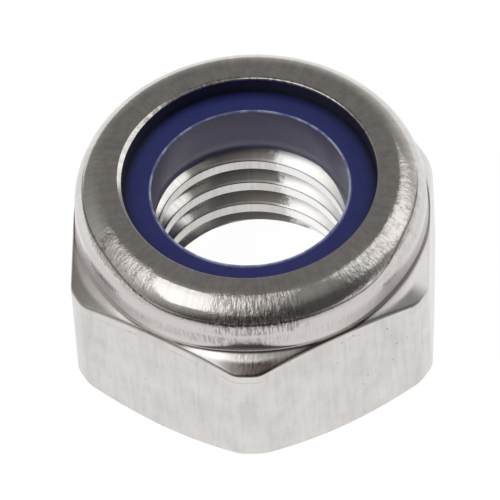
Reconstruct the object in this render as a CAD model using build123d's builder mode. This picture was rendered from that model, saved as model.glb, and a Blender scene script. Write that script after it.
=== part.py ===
from build123d import *
import math
import os

# A hexagon lock nut, M8 x 1.25, with a nylon ring held in a crimped collar.
# Millimetres. +Z runs up the thread, the origin is on the thread's axis in the bearing face,
# and one corner of the hexagon points along -Y.

# Hexagon: the metal between the thread and a flat makes it 13 mm across its flats
side_count = 6
flat_wall = 2.48
corner_cut = 0.245
corner_round = 0.9
bearing_setback = 0.48
base_chamfer_angle = 32.5
shoulder_angle = 15.5
edge_round = 0.12

# Collar, almost upright, rolled over into a dome whose lip dips at its inner edge
nut_height = 7.8
collar_height = 2.175
collar_setback = 0.06
collar_slope = 2.0
collar_foot_round = 0.3
collar_wall = 1.09
dome_round = 1.12
lip_thickness = 0.62
lip_dip = 0.05
lip_dip_width = 0.18

# Locking ring: the lip covers a share of its width, and its corner is rounded by a share of that cover
ring_height = 2.12
ring_grip = 0.43
ring_covered_share = 0.403
ring_corner_share = 0.45
ring_edge_break = 0.05

# Thread
thread_major_diameter = 8.04
thread_pitch = 1.25
thread_crest_flat = 0.46
thread_root_flat = 0.13
thread_flank_angle = 30.0
thread_crest_angle = 94.6
thread_crest_height = 4.298
thread_past_crest = 0.1
countersink_margin = 0.48
tapped_bar_spare_turns = 4

# Thread's own section
major_radius = thread_major_diameter / 2
flank_slope = math.tan(math.radians(thread_flank_angle))
flank_height = (thread_pitch - thread_crest_flat - thread_root_flat) / 2
minor_radius = major_radius - flank_height / flank_slope
inside_crest = minor_radius - thread_past_crest
countersink_radius = major_radius + countersink_margin

# Hexagon's distances and the two cones that end it
flat_distance = major_radius + flat_wall
half_side_angle = math.pi / side_count
corner_distance = flat_distance / math.cos(half_side_angle) - corner_cut
bearing_radius = flat_distance - bearing_setback
shoulder_height = nut_height - collar_height
blank_radius = corner_distance + corner_cut
base_slope = math.tan(math.radians(base_chamfer_angle))
shoulder_slope = math.tan(math.radians(shoulder_angle))

# Ring and pocket share these
collar_radius = flat_distance - collar_setback
ring_outer_radius = collar_radius - collar_wall
ring_inner_radius = major_radius - ring_grip
ring_top = nut_height - lip_thickness
ring_bottom = ring_top - ring_height
ring_cover = (ring_outer_radius - ring_inner_radius) * ring_covered_share
ring_corner_round = ring_cover * ring_corner_share
lip_radius = ring_outer_radius - ring_cover
lip_edge_height = nut_height - lip_dip
lip_top_radius = lip_radius + lip_dip_width

# The collar leans in by its slope, then rolls over in one arc that ends level
slope = math.radians(collar_slope)
lean = math.tan(slope)
dome_centre_height = nut_height - dome_round
collar_base_radius = collar_radius + shoulder_height * lean
dome_centre_radius = collar_base_radius - dome_centre_height * lean - dome_round / math.cos(slope)
dome_end_angle = math.pi / 2
dome_middle_angle = (slope + dome_end_angle) / 2
cone_apex_height = shoulder_height + flat_distance * shoulder_slope
foot_height = (cone_apex_height - collar_base_radius * shoulder_slope) / (1 - lean * shoulder_slope)
foot_radius = collar_base_radius - foot_height * lean


def dome_point(angle):
    """A point of the dome's arc, by its angle above level, in radians."""
    return (
        dome_centre_radius + dome_round * math.cos(angle),
        dome_centre_height + dome_round * math.sin(angle),
    )


def is_on_hexagon(face):
    """Whether a face stands upright outside the collar, as the flats and their corners do."""
    is_upright = math.isclose(face.normal_at().Z, 0, abs_tol=0.001)
    return is_upright and math.hypot(face.center().X, face.center().Y) > collar_radius


# Thread groove: a 60 degree section carried up a right-hand helix, well past both ends of the thread
groove_height = thread_crest_height - thread_pitch / 2
groove_start = groove_height - thread_pitch * math.ceil(groove_height / thread_pitch + 1)
groove_turns = math.ceil((ring_bottom - groove_start) / thread_pitch + 1)
groove_half_width = (thread_pitch - thread_crest_flat) / 2 + thread_past_crest * flank_slope
with BuildPart() as groove:
    with BuildLine() as thread_path:
        Helix(thread_pitch, thread_pitch * groove_turns, major_radius, center=(0, 0, groove_start))
    with BuildSketch(Plane.XZ):
        with BuildLine():
            Polyline(
                (major_radius, groove_start - thread_root_flat / 2),
                (major_radius, groove_start + thread_root_flat / 2),
                (inside_crest, groove_start + groove_half_width),
                (inside_crest, groove_start - groove_half_width),
                close=True,
            )
        make_face()
    sweep(path=thread_path.line, is_frenet=True)

# Tapped bar: longer than the groove at both ends, so that the groove is cut whole
with BuildPart() as tapped_bar:
    with Locations((0, 0, groove_start + thread_pitch * groove_turns / 2)):
        Cylinder(blank_radius, thread_pitch * (groove_turns + tapped_bar_spare_turns))
        Hole(minor_radius)
    add(groove.part, rotation=(0, 0, thread_crest_angle), mode=Mode.SUBTRACT)

# Nut body: the turned section spun round the axis, cut to the hexagon, its edges rounded, and tapped
with BuildPart() as nut_body:
    with BuildSketch(Plane.XZ) as section:
        with BuildLine():
            Polyline(
                (inside_crest, ring_bottom),
                (inside_crest, countersink_radius - inside_crest),
                (countersink_radius, 0),
                (bearing_radius, 0),
                (blank_radius, (blank_radius - bearing_radius) * base_slope),
                (blank_radius, cone_apex_height - blank_radius * shoulder_slope),
                (foot_radius, foot_height),
                dome_point(slope),
            )
            ThreePointArc(dome_point(slope), dome_point(dome_middle_angle), dome_point(dome_end_angle))
            Line(dome_point(dome_end_angle), (lip_top_radius, nut_height))
            TangentArc((lip_top_radius, nut_height), (lip_radius, lip_edge_height), tangent=(-1, 0))
            Polyline(
                (lip_radius, lip_edge_height),
                (lip_radius, ring_top),
                (ring_outer_radius, ring_top),
                (ring_outer_radius, ring_bottom),
                (inside_crest, ring_bottom),
            )
        make_face()
        collar_foot = section.vertices().sort_by_distance((foot_radius, foot_height))[0]
        fillet(collar_foot, radius=collar_foot_round)
        pocket_corner = section.vertices().sort_by_distance((ring_outer_radius, ring_top))[0]
        fillet(pocket_corner, radius=ring_corner_round)
    revolve(axis=Axis.Z)

    with BuildSketch() as hexagon:
        RegularPolygon(flat_distance, side_count, major_radius=False, rotation=math.degrees(half_side_angle))
        Circle(corner_distance, mode=Mode.INTERSECT)
        fillet(hexagon.vertices(), radius=corner_round)
    extrude(amount=nut_height, mode=Mode.INTERSECT)

    hexagon_faces = nut_body.faces().filter_by(is_on_hexagon)
    hexagon_edges = hexagon_faces.edges().filter_by(lambda edge: edge.geom_type != GeomType.LINE)
    fillet(hexagon_edges, radius=edge_round)

    add(tapped_bar.part, mode=Mode.INTERSECT)

# Locking ring: plain nylon, its upper outer corner rounded to the pocket's
with BuildPart() as nylon_ring:
    with BuildSketch(Plane.XZ) as ring_section:
        with Locations(((ring_inner_radius + ring_outer_radius) / 2, (ring_bottom + ring_top) / 2)):
            Rectangle(ring_outer_radius - ring_inner_radius, ring_height)
        upper_outer_corner = ring_section.vertices().sort_by_distance((ring_outer_radius, ring_top))[0]
        fillet(upper_outer_corner, radius=ring_corner_round)
        inner_corners = ring_section.vertices().group_by(Axis.X)[0]
        chamfer(inner_corners, length=ring_edge_break)
    revolve(axis=Axis.Z)

os.makedirs("parts", exist_ok=True)
nut_body.part.label = "nut_body"
nylon_ring.part.label = "nylon_ring"
export_step(nut_body.part, "parts/nut_body.step")
export_step(nylon_ring.part, "parts/nylon_ring.step")
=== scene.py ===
import math

import bmesh
import bpy
from mathutils import Matrix, Vector


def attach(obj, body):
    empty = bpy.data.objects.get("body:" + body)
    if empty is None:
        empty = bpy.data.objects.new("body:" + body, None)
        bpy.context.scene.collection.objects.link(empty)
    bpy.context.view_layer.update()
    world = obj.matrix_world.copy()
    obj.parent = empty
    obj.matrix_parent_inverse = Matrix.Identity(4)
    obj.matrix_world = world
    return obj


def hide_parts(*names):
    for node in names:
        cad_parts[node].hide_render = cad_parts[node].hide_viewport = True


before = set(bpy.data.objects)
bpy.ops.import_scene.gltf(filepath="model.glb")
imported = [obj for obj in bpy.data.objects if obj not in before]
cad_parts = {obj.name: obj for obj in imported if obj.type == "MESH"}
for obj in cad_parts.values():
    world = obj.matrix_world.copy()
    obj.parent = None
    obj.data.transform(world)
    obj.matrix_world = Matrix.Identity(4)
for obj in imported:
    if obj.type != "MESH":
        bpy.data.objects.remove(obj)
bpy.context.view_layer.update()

# ---- Nut body ----
# The real nut is cold-formed from one slug of stainless steel: six flats, a chamfered base, a conical
# shoulder and a round collar. The thread is cut first, and the collar is rolled inwards over the
# locking ring last, which leaves its smooth dome and the bright marks of the rolling tool.
MM = 0.001
FLAT_DISTANCE = 6.5
CORNER_DISTANCE = 7.257
CORNER_ROUND = 0.9
CORNER_STEPS = 8
FLAT_STEPS = 10
SUPPORT = 0.03

BEARING_RADIUS = 6.02
BEARING_INNER = 5.2
BASE_SLOPE = math.tan(math.radians(32.5))
SHOULDER_HEIGHT = 5.625
SHOULDER_ANGLE = math.radians(15.5)
SHOULDER_LIFT = 0.15
LIFT_START = 7.1
LIFT_REACH = 0.67
LIFT_END = 6.2
LIFT_FLOOR = 5.0
LIFT_TOP = 6.6
LIFT_FADE = 0.9
EDGE_ROUND = 0.12
EDGE_STEPS = 10
TOP_CORNER_ROUNDS = (0.14, 0.14, 0.85, 1.05, 1.05, 0.14)
TOP_CORNER_STRETCH = 2.2
STRETCH_FROM = 0.36
STRETCH_OVER = 0.4
TOP_CORNER_TURN = math.radians(24.0)

NUT_HEIGHT = 7.8
FOOT_ROUND = 0.12
FOOT_STEPS = 7
FOOT_SHARE = 0.97
FOOT_SPARE = 0.02
COLLAR_RADIUS = 6.44
COLLAR_SLOPE = math.radians(2.0)
COLLAR_BASE = COLLAR_RADIUS + SHOULDER_HEIGHT * math.tan(COLLAR_SLOPE)
DOME_ROUND = 1.12
DOME_HEIGHT = NUT_HEIGHT - DOME_ROUND
DOME_CENTRE = (
    COLLAR_BASE - DOME_HEIGHT * math.tan(COLLAR_SLOPE) - DOME_ROUND / math.cos(COLLAR_SLOPE),
    DOME_HEIGHT,
)
DOME_STEPS = 30
LIP_RADIUS = 4.6407
LIP_BEVEL = math.radians(18.0)
LIP_BEVEL_ROUND = 0.1
LIP_BEVEL_LEAST = 0.075
LIP_BEVEL_MORE = 0.14
LIP_WIDEST = math.radians(162)
LIP_WIDE_SPREAD = math.radians(36)
LIP_EDGE_ROUND = 0.04
LIP_STEPS = 6

POCKET_RADIUS = 5.35
POCKET_TOP = 7.18
POCKET_FLOOR = 5.06
POCKET_CORNER = 0.319
POCKET_INNER = 4.65

THREAD_PITCH = 1.25
THREAD_MAJOR = 4.02
THREAD_MINOR = 3.448
THREAD_CREST_HALF = 0.23
THREAD_ROOT_HALF = 0.065
THREAD_STEPS = 180
THREAD_TURNS = 6
CREST_ROUND = 0.07
CREST_AZIMUTH = math.radians(94.6)
CREST_HEIGHT = 4.298
COUNTERSINK_RADIUS = 4.5
MERGE = 0.001
STEEL_SHARP = math.radians(35)


def arc(centre, radius, start, end, steps):
    """Points along an arc in the turned section, both ends included."""
    angles = [start + (end - start) * step / steps for step in range(steps + 1)]
    return [(centre[0] + radius * math.cos(a), centre[1] + radius * math.sin(a)) for a in angles]


# The hollow round at the collar's foot touches the shoulder's cone and the collar's wall
shoulder_slope, collar_lean = math.tan(SHOULDER_ANGLE), math.tan(COLLAR_SLOPE)
cone_line = SHOULDER_HEIGHT + FLAT_DISTANCE * shoulder_slope + FOOT_ROUND / math.cos(SHOULDER_ANGLE)
wall_line = COLLAR_BASE + FOOT_ROUND / math.cos(COLLAR_SLOPE)
foot_height = (cone_line - wall_line * shoulder_slope) / (1 - shoulder_slope * collar_lean)
FOOT_CENTRE = (wall_line - foot_height * collar_lean, foot_height)

fillet_distance = CORNER_DISTANCE - CORNER_ROUND
fillet_from_flat = math.acos((FLAT_DISTANCE - CORNER_ROUND) / fillet_distance)
fillet_turn = math.pi / 6 - fillet_from_flat
flat_turn = math.pi / 6 - math.atan(fillet_distance * math.sin(fillet_from_flat) / FLAT_DISTANCE)


def hexagon_radius(turn):
    """Distance from the thread's axis to the side of the hexagon, at a turn away from the nearest corner."""
    if turn <= fillet_turn:
        return CORNER_DISTANCE
    if turn >= flat_turn:
        return FLAT_DISTANCE / math.cos(math.pi / 6 - turn)
    off = turn - fillet_turn
    return fillet_distance * math.cos(off) + math.sqrt(CORNER_ROUND ** 2 - (fillet_distance * math.sin(off)) ** 2)


# Columns stand close together where the corners turn and wide apart on the flats
corner_turns = [0, fillet_turn / 2, fillet_turn]
for step in range(1, CORNER_STEPS + 1):
    around = fillet_turn + fillet_from_flat * step / CORNER_STEPS
    across = fillet_distance * math.sin(fillet_turn) + CORNER_ROUND * math.sin(around)
    along = fillet_distance * math.cos(fillet_turn) + CORNER_ROUND * math.cos(around)
    corner_turns.append(math.atan2(across, along))
support_turn = flat_turn + SUPPORT / FLAT_DISTANCE
for step in range(FLAT_STEPS + 1):
    corner_turns.append(support_turn + (math.pi / 6 - support_turn) * step / FLAT_STEPS)
columns = []
for corner in range(6):
    middle = -math.pi / 2 + corner * math.pi / 3
    columns += [(middle + turn, turn, corner) for turn in corner_turns]
    columns += [(middle + math.pi / 3 - turn, turn, (corner + 1) % 6) for turn in reversed(corner_turns[1:-1])]


def shoulder(radius):
    """Height and slope of the shoulder at a radius: its cone, then the hollow round at the collar's foot."""
    cone_end = FOOT_CENTRE[0] - FOOT_ROUND * math.sin(SHOULDER_ANGLE)
    if radius >= cone_end:
        return SHOULDER_HEIGHT - (radius - FLAT_DISTANCE) * math.tan(SHOULDER_ANGLE), SHOULDER_ANGLE
    slope = math.asin((FOOT_CENTRE[0] - radius) / FOOT_ROUND)
    return FOOT_CENTRE[1] - FOOT_ROUND * math.cos(slope), slope


def top_round(corner, turn):
    """Round of the upper edge, at a turn away from a corner. The die left the corners at the back unfilled."""
    share = max(0.0, 1 - turn / TOP_CORNER_TURN)
    return EDGE_ROUND + (TOP_CORNER_ROUNDS[corner] - EDGE_ROUND) * share * share * (3 - 2 * share)


def hexagon_section(radius, upper_round):
    """The section from the bearing face up one side of the hexagon to the foot of the collar."""
    base = (radius - BEARING_RADIUS) * BASE_SLOPE
    base_angle = math.atan(BASE_SLOPE)
    base_turn = math.pi / 2 - base_angle
    base_reach = EDGE_ROUND * math.tan(base_turn / 2)
    points = [(BEARING_INNER, 0), (BEARING_RADIUS - SUPPORT, 0)]
    points += [(BEARING_RADIUS - SUPPORT / 3, SUPPORT / 20), (BEARING_RADIUS + SUPPORT / 3, SUPPORT / 3)]
    points.append((BEARING_RADIUS + SUPPORT, SUPPORT * BASE_SLOPE))
    before = base_reach + SUPPORT
    points.append((radius - before * math.cos(base_angle), base - before * math.sin(base_angle)))
    low_centre = (radius - EDGE_ROUND, base + base_reach)
    points += arc(low_centre, EDGE_ROUND, -base_turn, 0, EDGE_STEPS)

    top, slope = shoulder(radius)
    top_turn = math.pi / 2 - slope
    room = radius - FOOT_CENTRE[0] + FOOT_SHARE * FOOT_ROUND - FOOT_SPARE
    upper_round = min(upper_round, room / (math.tan(top_turn / 2) * math.cos(slope)))
    top_reach = upper_round * math.tan(top_turn / 2)
    points.append((radius, low_centre[1] + SUPPORT))
    points.append((radius, (base + top) / 2))
    rounded = arc((radius - upper_round, top - top_reach), upper_round, 0, top_turn, EDGE_STEPS)
    rounded_end, rounded_top = rounded[-1]
    stretch = 1 + (TOP_CORNER_STRETCH - 1) * min(1.0, max(0.0, upper_round - STRETCH_FROM) / STRETCH_OVER)
    rounded = [(here, rounded_top - (rounded_top - height) * stretch) for here, height in rounded]
    points.append((radius, rounded[0][1] - SUPPORT))
    points += rounded

    cone_start = rounded_end - SUPPORT / 3
    cone_end = min(FOOT_CENTRE[0] - FOOT_ROUND * math.sin(SHOULDER_ANGLE), cone_start - SUPPORT / 3)
    for share in (0, 0.5, 1):
        here = cone_start + (cone_end - cone_start) * share
        points.append((here, shoulder(here)[0]))
    first = shoulder(cone_end)[1]
    last = math.pi / 2 - COLLAR_SLOPE
    foot = arc(FOOT_CENTRE, FOOT_ROUND, -math.pi / 2 - first, -math.pi / 2 - last, FOOT_STEPS)
    return points + foot[1:]


def lip_width(azimuth):
    """Width of the lip's bevel, which the rolling tool left widest at the back on the left."""
    off = (azimuth - LIP_WIDEST + math.pi) % math.tau - math.pi
    return LIP_BEVEL_LEAST + LIP_BEVEL_MORE * math.exp(-((off / LIP_WIDE_SPREAD) ** 2))


def collar_section(bevel_width):
    """The section from the foot of the collar over the dome and lip, and round the ring's pocket."""
    foot = arc(FOOT_CENTRE, -FOOT_ROUND, COLLAR_SLOPE, math.pi / 2, 1)[0]
    dome = arc(DOME_CENTRE, DOME_ROUND, COLLAR_SLOPE, math.pi / 2, 1)[0]
    length = math.dist(foot, dome)
    points = []
    for reach in (SUPPORT, 0.2, 0.4, 0.6, length - SUPPORT):
        out, up = ((end - start) * reach / length for start, end in zip(foot, dome))
        points.append((foot[0] + out, foot[1] + up))
    points += arc(DOME_CENTRE, DOME_ROUND, COLLAR_SLOPE, math.pi / 2, DOME_STEPS)
    bevel_start = LIP_RADIUS + bevel_width
    points.append(((DOME_CENTRE[0] + bevel_start) / 2, NUT_HEIGHT))
    bevel_centre = (bevel_start, NUT_HEIGHT - LIP_BEVEL_ROUND)
    points += arc(bevel_centre, LIP_BEVEL_ROUND, math.pi / 2, math.pi / 2 + LIP_BEVEL, LIP_STEPS)
    straight = points[-1][0] - LIP_RADIUS - LIP_EDGE_ROUND / 2
    points.append((LIP_RADIUS + LIP_EDGE_ROUND / 2, points[-1][1] - straight * math.tan(LIP_BEVEL)))
    edge_height = points[-1][1] - LIP_EDGE_ROUND
    points += [(LIP_RADIUS + LIP_EDGE_ROUND / 8, edge_height + LIP_EDGE_ROUND / 2), (LIP_RADIUS, edge_height)]
    points += [(LIP_RADIUS, edge_height - SUPPORT), (LIP_RADIUS, POCKET_TOP + SUPPORT), (LIP_RADIUS, POCKET_TOP)]
    corner = (POCKET_RADIUS - POCKET_CORNER, POCKET_TOP - POCKET_CORNER)
    points += arc(corner, POCKET_CORNER, math.pi / 2, 0, LIP_STEPS)
    points += [(POCKET_RADIUS, POCKET_FLOOR), (POCKET_INNER, POCKET_FLOOR)]
    return points


def on_section(point, azimuth):
    """A point of a turned section, carried round to an azimuth."""
    radius, height = point
    return Vector((radius * math.cos(azimuth), radius * math.sin(azimuth), height)) * MM


def lifted(point, turn):
    """A point near the collar's foot, raised at the corners, where the shoulder curves up to the collar."""
    radius, height = point
    is_on_shoulder = height > LIFT_FLOOR and radius > LIFT_END
    near = min(1.0, max(0.0, (LIFT_START - radius) / LIFT_REACH)) ** 2
    below = min(1.0, max(0.0, (LIFT_TOP - height) / LIFT_FADE))
    lift = SHOULDER_LIFT * (0.5 + 0.5 * math.cos(6 * turn)) * near * below
    return (radius, height + lift) if is_on_shoulder else point


# The outside grows row by row from the bearing face, up the hexagon, over the collar and into the pocket
body = bmesh.new()
column = body.verts.layers.int.new("column")
sections = []
for azimuth, turn, corner in columns:
    section = hexagon_section(hexagon_radius(turn), top_round(corner, turn)) + collar_section(lip_width(azimuth))
    sections.append([lifted(point, turn) for point in section])
outline = bmesh.ops.create_circle(body, segments=len(columns), radius=BEARING_INNER * MM)["verts"]
for index, vert in enumerate(outline):
    vert[column] = index
    vert.co = on_section(sections[index][0], columns[index][0])
row_edges = list(body.edges)
for row in range(1, len(sections[0])):
    grown = bmesh.ops.extrude_edge_only(body, edges=row_edges)["geom"]
    row_edges = [item for item in grown if isinstance(item, bmesh.types.BMEdge)]
    for vert in grown:
        if isinstance(vert, bmesh.types.BMVert):
            vert.co = on_section(sections[vert[column]][row], columns[vert[column]][0])

# The thread: one pitch of its section, from root to root, carried up a right-hand helix
flank_rise = (THREAD_PITCH / 2 - THREAD_ROOT_HALF - THREAD_CREST_HALF) / (THREAD_MAJOR - THREAD_MINOR)
crest_reach = CREST_ROUND * math.tan(math.radians(30))
crest_centre = (THREAD_MINOR + CREST_ROUND, THREAD_CREST_HALF - crest_reach)
half_section = [(THREAD_MINOR, THREAD_CREST_HALF - 2 * crest_reach)]
half_section += arc(crest_centre, CREST_ROUND, math.pi, math.radians(120), 4)
for share in (0.1, 0.3, 0.5, 0.7, 0.9, 1.0):
    radius = half_section[5][0] + (THREAD_MAJOR - half_section[5][0]) * share
    half_section.append((radius, THREAD_CREST_HALF + (radius - THREAD_MINOR) * flank_rise))
half_section.append((THREAD_MAJOR, THREAD_PITCH / 2))
thread_section = [(radius, -height) for radius, height in reversed(half_section)] + half_section

thread = bmesh.new()
lowest_crest = CREST_HEIGHT - THREAD_PITCH * (CREST_AZIMUTH / math.tau + 4)
points = [thread.verts.new((radius * MM, 0, (lowest_crest + height) * MM)) for radius, height in thread_section]
lines = [thread.edges.new(pair) for pair in zip(points, points[1:])]
bmesh.ops.spin(
    thread,
    geom=points + lines,
    axis=(0, 0, 1),
    dvec=(0, 0, THREAD_PITCH * MM / THREAD_STEPS),
    angle=math.tau,
    steps=THREAD_STEPS,
)
first_turn = thread.verts[:] + thread.edges[:] + thread.faces[:]
for turn in range(1, THREAD_TURNS):
    copied = bmesh.ops.duplicate(thread, geom=first_turn)["geom"]
    copied_verts = [item for item in copied if isinstance(item, bmesh.types.BMVert)]
    bmesh.ops.translate(thread, verts=copied_verts, vec=(0, 0, THREAD_PITCH * turn * MM))
bmesh.ops.remove_doubles(thread, verts=thread.verts, dist=MERGE * MM)
for vert in thread.verts:
    cone = COUNTERSINK_RADIUS * MM - vert.co.z
    radius = math.hypot(vert.co.x, vert.co.y)
    if radius < cone:
        vert.co.x *= cone / radius
        vert.co.y *= cone / radius
for height, below in ((0, True), (POCKET_FLOOR * MM, False)):
    bmesh.ops.bisect_plane(
        thread,
        geom=thread.verts[:] + thread.edges[:] + thread.faces[:],
        plane_co=(0, 0, height),
        plane_no=(0, 0, 1),
        clear_inner=below,
        clear_outer=not below,
    )
thread_mesh = bpy.data.meshes.new("thread")
thread.to_mesh(thread_mesh)
thread.free()
body.from_mesh(thread_mesh)
bpy.data.meshes.remove(thread_mesh)



def smooth(shape, sharp):
    """Turns the faces outwards and shades them smooth, apart from edges past the sharp angle."""
    bmesh.ops.recalc_face_normals(shape, faces=shape.faces)
    for face in shape.faces:
        face.smooth = True
    for edge in shape.edges:
        edge.smooth = edge.calc_face_angle(0) < sharp


def placed(shape, name):
    """A new object in the scene with a bmesh's shape."""
    mesh = bpy.data.meshes.new(name)
    shape.to_mesh(mesh)
    shape.free()
    piece = bpy.data.objects.new(name, mesh)
    bpy.context.collection.objects.link(piece)
    return piece


# Two flat rings close the shell: the bearing face below, and the pocket's floor above
rims = [edge for edge in body.edges if edge.is_boundary]
for height in (0, POCKET_FLOOR * MM):
    level = [edge for edge in rims if abs(edge.verts[0].co.z - height) < 10 * MERGE * MM]
    bmesh.ops.bridge_loops(body, edges=level)
smooth(body, STEEL_SHARP)
for edge in rims:
    edge.smooth = False
nut_body = placed(body, "nut_body_steel")


class Shade:
    """A socket of a material's nodes. Arithmetic on it adds Math nodes, and add() makes any other node."""

    def __init__(self, tree, socket=None):
        self.tree = tree
        self.socket = socket

    def add(self, kind, settings=None, inputs=None, output=0):
        node = self.tree.nodes.new(kind)
        for name, value in (settings or {}).items():
            if name == "stops":
                ramp = node.color_ramp.elements
                while len(ramp) < len(value):
                    ramp.new(0.5)
                for stop, (place, colour) in zip(ramp, value):
                    stop.position = place
                    stop.color = colour
            else:
                setattr(node, name, value)
        for name, value in (inputs or {}).items():
            if isinstance(value, Shade):
                self.tree.links.new(value.socket, node.inputs[name])
            else:
                node.inputs[name].default_value = value
        return Shade(self.tree, node.outputs[output])

    def number(self, operation, first, second=0.0):
        return self.add("ShaderNodeMath", {"operation": operation}, {0: first, 1: second})

    def __add__(self, other):
        return self.number("ADD", self, other)

    def __radd__(self, other):
        return self.number("ADD", other, self)

    def __sub__(self, other):
        return self.number("SUBTRACT", self, other)

    def __rsub__(self, other):
        return self.number("SUBTRACT", other, self)

    def __mul__(self, other):
        return self.number("MULTIPLY", self, other)

    def __rmul__(self, other):
        return self.number("MULTIPLY", other, self)

    def __truediv__(self, other):
        return self.number("DIVIDE", self, other)

    def __pow__(self, other):
        return self.number("POWER", self, other)

    def coordinate(self, axis):
        """One coordinate of a vector: 0, 1 or 2."""
        return self.add("ShaderNodeSeparateXYZ", inputs={0: self}, output=axis)

    def vector(self, *parts):
        """A vector of three values."""
        return self.add("ShaderNodeCombineXYZ", inputs=dict(enumerate(parts)))

    def noise(self, place, scale, detail=3.0, roughness=0.5):
        """Smooth random values round 0.5 at a place."""
        inputs = {"Vector": place, "Scale": scale, "Detail": detail, "Roughness": roughness}
        return self.add("ShaderNodeTexNoise", {}, inputs)

    def window(self, start, end, soft):
        """1 between start and end, and 0 outside, with soft changes."""
        return self.step(start - soft, start + soft) * self.step(end + soft, end - soft)

    def step(self, start, end):
        """0 before start and 1 past end, with a soft change between. Start may be above end."""
        return self.add("ShaderNodeMapRange", {"interpolation_type": "SMOOTHSTEP"}, {0: self, 1: start, 2: end})

    def blend(self, first, second):
        """A colour from first to second, by this value."""
        settings = {"data_type": "RGBA"}
        return self.add("ShaderNodeMix", settings, {0: self, 6: first, 7: second}, output=2)

    def bump(self, depth, strength=1.0):
        """The surface's direction, tilted as this value rises and falls by a depth in metres."""
        return self.add("ShaderNodeBump", {}, {"Strength": strength, "Distance": depth, "Height": self})


def material(name):
    """A material with one shader linked to its output, given with its graph."""
    made = bpy.data.materials.new(name)
    made.use_nodes = True
    return made, Shade(made.node_tree), made.node_tree.nodes["Principled BSDF"]


def feed(graph, shader, **links):
    """Links values to the shader's sockets, by their names with _ for a space."""
    for name, value in links.items():
        graph.tree.links.new(value.socket, shader.inputs[name.replace("_", " ")])


def places(graph):
    """A point of the surface in millimetres: its vector and coordinates, and its distance from the axis."""
    place = graph.add("ShaderNodeTexCoord", output=3)
    place = graph.add("ShaderNodeVectorMath", {"operation": "SCALE"}, {0: place, "Scale": 1 / MM})
    side, back, height = (place.coordinate(axis) for axis in range(3))
    return place, side, back, height, (side * side + back * back) ** 0.5


# Colours: the flats' two greys, a painted highlight that makes the shoulder's facets pale, the collar's wall, a
# painted highlight on the side of the thread that faces the light, the brown of scratches and stains that also
# paints shade, and a painted reflection of the ring on the lip's inside
FLAT_GREYS = ((0.585, 0.565, 0.547, 1), (0.71, 0.69, 0.672, 1))
FACET_HIGHLIGHT = (0.87, 0.86, 0.855, 1)
COLLAR_GREY = (0.61, 0.58, 0.57, 1)
THREAD_HIGHLIGHT_WHITE = (0.97, 0.965, 0.96, 1)
STAIN_AND_SHADE_BROWN = (0.115, 0.095, 0.085, 1)
LIP_RING_REFLECTION = (0.05, 0.05, 0.13, 1)

# Where marks, painted shade and painted reflections lie round the axis: start, end and softness in radians, from
# the front corner to the right
FRONT_STREAKS = (-0.21, 0.33, 0.09)
LEFT_LEATHER = (-1.15, -0.62, 0.07)
RIGHT_LEATHER = (0.62, 1.75, 0.12)
POLISHED_DOME = (-0.62, -0.2, 0.06)
ROUGH_WALL = (-0.95, 0.2, 0.1)
LINED_WALL = (-0.35, 0.2, 0.1)
STREAKED_FACET = (-0.06, 0.3, 0.04)
DULL_FACET = (-0.14, 0.3, 0.08)
CORNER_LINE = (-0.12, 0.14, 0.05)
SECOND_LINE = (-1.0, 1.0, 0.2)
CREASE = (-1.7, 1.6, 0.15)
FRONT_BAND = (-0.85, 0.65, 0.2)

STREAK_RADIUS = 6.3
RELIEF_DEPTH = 0.04

steel, graph, shader = material("stainless_steel")
shader.inputs["Metallic"].default_value = 1.0
place, side, back, height, distance = places(graph)
azimuth = graph.number("ARCTAN2", side, -1.0 * back)
along = height - distance
turn_side, turn_back = side / distance, back / distance


def streaks_along(stretch, offset, scale, detail, roughness=0.5):
    """Random streaks drawn out along the section, so that they run up the flats and over the dome."""
    drawn = graph.vector(STREAK_RADIUS * turn_side, STREAK_RADIUS * turn_back, stretch * along + offset)
    return graph.noise(drawn, scale, detail, roughness)


# Parts of the surface, told by distance and height in millimetres. edge_fall is the distance below the
# edge where the shoulder's cone meets the flats, and rolled is the angle round the dome, level at 0.
edge_fall = SHOULDER_HEIGHT - shoulder_slope * (distance - FLAT_DISTANCE) - height
rolled = graph.number("ARCTAN2", height - DOME_HEIGHT, distance - DOME_CENTRE[0])
is_collar = distance.step(6.6, 6.5) * height.step(5.66, 5.8)
is_bore = distance.step(4.58, 4.5)
is_outside = 1.0 - is_bore
is_shoulder = distance.step(6.46, 6.56) * edge_fall.step(0.095, 0.045)
flats = is_outside * (1.0 - is_collar) * (1.0 - is_shoulder)
on_dome = is_collar * height.step(6.55, 6.75) * distance.step(5.35, 5.5)
on_wall = is_collar * height.step(6.6, 6.45) * height.step(5.95, 6.2)
low_wall = is_collar * height.step(6.7, 6.2) * (azimuth.step(0.4, 0.65) + azimuth.step(-0.4, -0.65))
on_right = azimuth.step(0.5, 0.7) * azimuth.step(3.0, 2.2)
on_left = azimuth.step(-0.6, -0.7) * azimuth.step(-3.0, -2.2)

# Random patterns, from long streaks to grain
streaks = streaks_along(0.22, 0.0, 9.0, 4.0, 0.65)
short_marks = streaks_along(0.2, 5.0, 11.0, 2.0)
fine_streaks = streaks_along(0.15, 9.0, 15.0, 2.0)
upright = streaks_along(0.1, 0.0, 5.0, 4.0, 0.6)
speckle = graph.noise(place, 6.5, 2.0, 0.6)
grain = graph.noise(place, 15.0, 1.0)
leather = graph.noise(place, 3.2, 3.0, 0.6)
patches = graph.noise(place, 0.55, 2.0)
clouds = graph.noise(place, 0.9, 5.0, 0.55)
pits = graph.add("ShaderNodeTexVoronoi", {}, {"Vector": place, "Scale": 2.3, "Randomness": 1.0})

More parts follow.
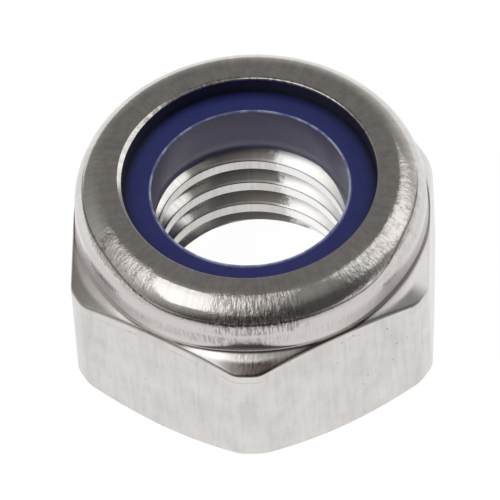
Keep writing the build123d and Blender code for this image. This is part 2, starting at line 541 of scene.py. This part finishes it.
# Relief: marks of the rolling tool on the dome and wall, scratches and pits on the flats
front_marks = azimuth.window(*FRONT_STREAKS)
left_leather = azimuth.window(*LEFT_LEATHER)
right_leather = azimuth.window(*RIGHT_LEATHER)
dome_marks = on_dome * (0.1 + 0.9 * front_marks + 0.9 * left_leather + 0.6 * right_leather)
wall_marks = on_wall * (0.2 + 0.4 * azimuth.window(*ROUGH_WALL) + 0.2 * right_leather)
shoulder_marks = is_shoulder * (0.12 + 0.88 * azimuth.window(*STREAKED_FACET))
pit = flats * pits.step(0.095, 0.035) * patches.step(0.42, 0.56)
second_line = flats * edge_fall.window(0.42, 0.47, 0.02) * clouds.step(0.47, 0.56) * azimuth.window(*SECOND_LINE)
relief = dome_marks * (0.5 * streaks + 0.35 * speckle + 0.35 * leather - 0.6)
relief = relief + wall_marks * (0.25 * fine_streaks + 0.25 * streaks - 0.25)
relief = relief + shoulder_marks * (0.22 * streaks + 0.3 * speckle - 0.26)
relief = relief + flats * (0.2 * upright + 0.12 * clouds - 0.16) - 0.5 * pit - 0.2 * second_line

# The metal's colour: greys on the flats, facets on the shoulder made paler by a painted highlight at the front and
# sides, and a slightly darker wall under the dome
colour = (0.5 * clouds + 0.5 * upright).step(0.33, 0.67).blend(*FLAT_GREYS)
front_facet = azimuth.step(0.3, 0.0) * azimuth.step(-0.4, -0.3)
colour = (is_shoulder * (front_facet + 0.5 * on_left + 0.9 * on_right)).blend(colour, FACET_HIGHLIGHT)
colour = (is_collar * rolled.step(0.5, 0.3)).blend(colour, COLLAR_GREY)

# Painted shade and dark reflections: painted shade in the crease under the dome, which climbs towards the sides, a
# grainy painted dark reflection in a band above it at the front, painted shade in the hollow of the collar's foot,
# which is higher over the corners, and a painted dark reflection along the hexagon's upper edge
front_share = azimuth.step(-1.05, -0.44) * azimuth.step(1.22, 0.73)
painted_crease_shade = is_collar * (rolled - (0.77 - 0.38 * front_share)).window(-0.03, 0.04, 0.015)
painted_crease_shade = painted_crease_shade * azimuth.window(*CREASE) * (0.4 + 0.4 * short_marks)
# Painted dark reflection in a band on the collar's front, broken up by grain
painted_front_reflection = is_collar * rolled.window(0.3, 0.7, 0.05) * azimuth.window(*FRONT_BAND)
painted_front_reflection = painted_front_reflection * (0.02 + 0.2 * grain.step(0.42, 0.6))
# Painted shade in the hollow at the collar's foot
foot_height = 5.78 + 0.075 * graph.number("COSINE", 6.0 * azimuth)
foot_reach = ((distance - 6.45) ** 2.0 + (height - foot_height) ** 2.0) ** 0.5
foot = foot_reach.step(0.15, 0.07) * (0.34 + 0.36 * azimuth.step(0.2, 0.6) * azimuth.step(3.0, 2.2))
# Painted dark reflection along the hexagon's upper edge
painted_edge_reflection = is_outside * (1.0 - is_collar) * edge_fall.window(-0.04, 0.1, 0.02)
painted_edge_reflection = painted_edge_reflection * azimuth.step(1.12, 1.0) * azimuth.step(-2.9, -1.6)
painted_edge_reflection = painted_edge_reflection * (0.5 + 0.2 * azimuth.step(-0.1, 0.1) + 0.25 * azimuth.window(*CORNER_LINE))

# Dark marks: lines down the wall, dents and flecks on the dome, mottling on top, and wear on the lip
wall_lines = (0.4 * short_marks + 0.6 * fine_streaks).step(0.44, 0.62) * (0.14 + 0.22 * azimuth.window(*LINED_WALL))
wall_lines = on_wall * (wall_lines + 0.14 * grain.step(0.42, 0.6) * azimuth.step(0.3, 0.1))
above_crease = rolled.step(0.7, 0.85)
dents = on_dome * (left_leather * above_crease + right_leather * (0.2 + 0.4 * above_crease))
dents = dents * leather.step(0.5, 0.62) * (0.25 + 0.35 * grain.step(0.45, 0.6))
flecks = 0.55 * on_dome * front_marks * fine_streaks.step(0.44, 0.6)
flecks = flecks + 0.12 * shoulder_marks * fine_streaks.step(0.5, 0.62)
top_mottle = is_outside * height.step(7.7, 7.76) * leather.step(0.42, 0.62)
lip = distance.step(4.82, 4.74) * distance.step(4.6, 4.63) * height.step(7.6, 7.66)
lip_wear = lip * (0.1 + 0.4 * speckle.step(0.4, 0.62)) * back.step(1.2, 2.6)
# The lip's inside, which gets a painted reflection of the dark ring
lip_inside = distance.step(4.66, 4.648) * distance.step(4.6, 4.63) * height.step(7.735, 7.7)

# The thread: painted shade on its far flanks, where they mirror the near side, a painted highlight on the right,
# and painted shade on the crests left of the middle
highlight_side = (side + 0.13 * height + 0.8 * speckle).step(1.45, 1.95)
painted_thread_highlight = is_bore * back.step(-0.2, 1.0) * highlight_side
# Painted shade on the far flanks, away from the highlight
painted_flank_shade = is_bore * distance.step(3.49, 3.56) * back.step(0.6, 1.6)
painted_flank_shade = painted_flank_shade * side.step(-2.2, -1.35) * (1.0 - highlight_side)
# Painted shade on the crests left of the middle
painted_crest_shade = is_bore * distance.step(3.56, 3.5) * side.step(1.6, 0.4)

# Real pits, lines, streaks, grain, mottling, dents, flecks and wear, with the painted shade and painted dark
# reflections above, all darken towards one brown
stain_and_shade = 0.35 * pit + 0.16 * second_line + 0.09 * flats * upright.step(0.55, 0.72) + 0.08 * grain * is_outside
stain_and_shade = stain_and_shade + 0.13 * top_mottle + foot + painted_edge_reflection + painted_crease_shade + painted_front_reflection + wall_lines + dents + flecks + lip_wear
stain_and_shade = stain_and_shade + 0.5 * painted_flank_shade + 0.16 * painted_crest_shade
# Painted highlight on the right of the thread
colour = painted_thread_highlight.blend(colour, THREAD_HIGHLIGHT_WHITE)
colour = stain_and_shade.blend(colour, STAIN_AND_SHADE_BROWN)
# Painted reflection of the ring on the lip's inside
colour = (0.9 * lip_inside).blend(colour, LIP_RING_REFLECTION)

roughness = 0.09 + 0.1 * leather + 0.05 * dome_marks + 0.05 * wall_marks + 0.1 * flats
roughness = roughness - 0.05 * on_dome * azimuth.window(*POLISHED_DOME)
roughness = roughness + is_shoulder * (0.36 * on_right + 0.1 * on_left + 0.22 * azimuth.window(*DULL_FACET))
roughness = roughness + 0.36 * low_wall + 0.24 * painted_thread_highlight + 0.4 * painted_flank_shade + 0.4 * lip_inside
feed(graph, shader, Base_Color=colour, Roughness=roughness, Normal=relief.bump(RELIEF_DEPTH * MM))
nut_body.data.materials.append(steel)
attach(nut_body, "root")
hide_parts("nut_body")

# ---- Locking ring ----
# The real ring is blue nylon, turned or punched from tube and slightly wider than the thread's minor
# diameter. It is pressed into the pocket and held by the rolled lip.
RING_INNER = 3.59
RING_EDGE_BREAK = 0.05
RING_BURR = 0.035
RING_STEPS = 240
RING_SHARP = math.radians(50)

NYLON_BLUES = ((0.02, 0.021, 0.16, 1), (0.014, 0.024, 0.16, 1))
NYLON_WISP = (0.05, 0.06, 0.2, 1)
NYLON_LIP_SHADOW = (0.003, 0.003, 0.012, 1)
NYLON_BORE = (0.023, 0.014, 0.095, 1)
NYLON_BURR_HIGHLIGHT = (0.5, 0.57, 0.85, 1)
NYLON_RELIEF_DEPTH = 0.02

# The section runs up the bore, over the burr that the cut left, out to the rounded corner and back below
burr_section = [(0.0, -0.08), (0.005, -0.03), (0.02, RING_BURR), (0.05, RING_BURR)]
burr_section += [(0.09, 0.0), (0.14, -0.005), (0.3, 0.0)]
ring_section = [(RING_INNER, POCKET_FLOOR + rise) for rise in (RING_EDGE_BREAK, 0.6, 1.2)]
ring_section += [(RING_INNER + out, POCKET_TOP + up) for out, up in burr_section]
ring_section += [(4.2, POCKET_TOP), (4.6, POCKET_TOP)]
ring_corner = (POCKET_RADIUS - POCKET_CORNER, POCKET_TOP - POCKET_CORNER)
ring_section += arc(ring_corner, POCKET_CORNER, math.pi / 2, 0, LIP_STEPS)
ring_section += [(POCKET_RADIUS, POCKET_FLOOR), (RING_INNER + RING_EDGE_BREAK, POCKET_FLOOR)]
ring = bmesh.new()
points = [ring.verts.new((radius * MM, 0, height * MM)) for radius, height in ring_section]
lines = [ring.edges.new(pair) for pair in zip(points, points[1:] + points[:1])]
bmesh.ops.spin(ring, geom=points + lines, axis=(0, 0, 1), angle=math.tau, steps=RING_STEPS, use_merge=True)
bmesh.ops.remove_doubles(ring, verts=ring.verts, dist=MERGE * MM)
smooth(ring, RING_SHARP)
nylon_ring = placed(ring, "nylon_ring_blue")

# Blue, with painted shadow where the lip shades it, faint turning marks and a painted highlight on the burr round
# the bore
nylon, graph, shader = material("blue_nylon")
shader.inputs["IOR"].default_value = 1.53
place, side, back, height, distance = places(graph)
wisps = graph.noise(place, 1.6, 4.0)
turning_place = graph.vector(2.0 * side / distance, 9.0 * distance, 9.0 * height + 2.0 * back / distance)
turning = graph.noise(turning_place, 2.0, 3.0)
# Painted shadow of the lip on the nylon
painted_lip_shadow = 0.7 * distance.step(4.15, 4.62) * back.step(-4.0, 1.5) + 0.28 * distance.step(4.42, 4.62)
inner_wall = distance.step(3.62, 3.595) * height.step(7.16, 7.1)
# Painted highlight along the burr round the bore
burr = (distance + 0.08 * wisps).step(3.75, 3.66) * height.step(7.12, 7.17)
burr = burr * (0.35 + 0.65 * wisps.step(0.42, 0.56))
colour = back.step(-3.8, 1.0).blend(*NYLON_BLUES)
colour = (0.25 * wisps + 0.1 * turning).blend(colour, NYLON_WISP)
colour = painted_lip_shadow.blend(colour, NYLON_LIP_SHADOW)
colour = inner_wall.blend(colour, NYLON_BORE)
colour = burr.blend(colour, NYLON_BURR_HIGHLIGHT)
bump = (0.25 * turning + wisps).bump(NYLON_RELIEF_DEPTH * MM, 0.6)
feed(graph, shader, Base_Color=colour, Roughness=0.24 + 0.14 * wisps, Normal=bump)
nylon_ring.data.materials.append(nylon)
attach(nylon_ring, "root")
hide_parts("nylon_ring")

# ---- Table ----
# A white table top under the nut, lit so evenly that it glows. It darkens away from the nut on the near
# side, where the nut's flats mirror it.
TABLE_HALF = 0.6
TABLE_GREY = (0.1, 0.1, 0.1, 1)
TABLE_GLOW = (0.96, 0.96, 0.96, 1)
TABLE_NEAR_GLOW = (0.12, 0.12, 0.12, 1)

top = bmesh.new()
bmesh.ops.create_grid(top, x_segments=2, y_segments=2, size=TABLE_HALF)
floor = placed(top, "floor")
table, graph, shader = material("white_table")
shader.inputs["Base Color"].default_value = TABLE_GREY
shader.inputs["Roughness"].default_value = 1.0
shader.inputs["Specular IOR Level"].default_value = 0.0
shader.inputs["Emission Strength"].default_value = 1.0
place = graph.add("ShaderNodeTexCoord", output=3)
reach = (place.coordinate(0) ** 2.0 + place.coordinate(1) ** 2.0) ** 0.5
nearness = (-1.0 * place.coordinate(1) / (reach + 0.0001)).step(0.35, 0.95)
glow = (reach.step(0.013, 0.06) * nearness).blend(TABLE_GLOW, TABLE_NEAR_GLOW)
feed(graph, shader, Emission_Color=glow)
floor.data.materials.append(table)

# ---- Light and camera ----
# A dim room, one large soft light in front on the left and a smaller one behind on the right. The room's
# glow changes smoothly with direction, as the reflections on the dome do.
ROOM_LEAST = 0.09
ROOM_TINT = (1.0, 0.97, 0.93, 1)
LIGHT_DISTANCE = 0.6

world = bpy.data.worlds.new("room")
bpy.context.scene.world = world
world.use_nodes = True
room = Shade(world.node_tree)
towards = room.add("ShaderNodeTexCoord", output=0)
x, y, z = (towards.coordinate(axis) for axis in range(3))
glow = 0.12 + 0.046 * x + 0.398 * y + 0.054 * z + 0.292 * x * x + 0.448 * x * y
glow = glow - 0.68 * y * z - 0.428 * x * z + 0.224 * z * z
tint = room.number("MAXIMUM", glow, ROOM_LEAST).blend((0.0, 0.0, 0.0, 1), ROOM_TINT)
world.node_tree.links.new(tint.socket, world.node_tree.nodes["Background"].inputs["Color"])


def soft_light(name, azimuth, elevation, roll, width, height, strength):
    """A rectangular light that faces the nut. Azimuth runs from the camera's side, to the right."""
    data = bpy.data.lights.new(name, "AREA")
    data.shape = "RECTANGLE"
    data.size = width
    data.size_y = height
    data.energy = strength * width * height * math.pi
    lamp = bpy.data.objects.new(name, data)
    turn, tilt, spin = math.radians(azimuth), math.radians(elevation), math.radians(roll)
    away = Vector((math.sin(turn) * math.cos(tilt), -math.cos(turn) * math.cos(tilt), math.sin(tilt)))
    level = Vector((math.cos(turn), math.sin(turn), 0))
    upward = away.cross(level)
    axes = Matrix((
        math.cos(spin) * level + math.sin(spin) * upward,
        math.cos(spin) * upward - math.sin(spin) * level,
        away,
    )).transposed()
    lamp.matrix_world = Matrix.Translation(away * LIGHT_DISTANCE) @ axes.to_4x4()
    bpy.context.collection.objects.link(lamp)


soft_light("main_light", -59.6, 62.4, 38.0, 0.332, 0.76, 1.05)
soft_light("side_light", 116.9, 44.5, -52.4, 0.356, 0.6, 1.12)

# The camera stands where the photograph was taken from
CAMERA_PLACE = (0.016728, -0.20558, 0.259898)
CAMERA_ELEVATION = math.radians(51.1733)
CAMERA_ROLL = math.radians(-4.0104)
CAMERA_SWING = math.radians(4.6949)
CAMERA_LENS = 648.0
CAMERA_SENSOR = 36.0

forward = Vector((
    -math.sin(CAMERA_SWING) * math.cos(CAMERA_ELEVATION),
    math.cos(CAMERA_SWING) * math.cos(CAMERA_ELEVATION),
    -math.sin(CAMERA_ELEVATION),
))
level_right = Vector((math.cos(CAMERA_SWING), math.sin(CAMERA_SWING), 0))
level_up = level_right.cross(forward)
right = math.cos(CAMERA_ROLL) * level_right + math.sin(CAMERA_ROLL) * level_up
up = right.cross(forward)
camera_data = bpy.data.cameras.new("camera")
camera_data.lens = CAMERA_LENS
camera_data.sensor_width = CAMERA_SENSOR
camera_data.clip_start = 0.01
camera_data.clip_end = 5.0
camera = bpy.data.objects.new("camera", camera_data)
camera.matrix_world = Matrix.Translation(CAMERA_PLACE) @ Matrix((right, up, -forward)).transposed().to_4x4()
bpy.context.collection.objects.link(camera)
bpy.context.scene.camera = camera
bpy.context.scene.view_settings.view_transform = "Standard"
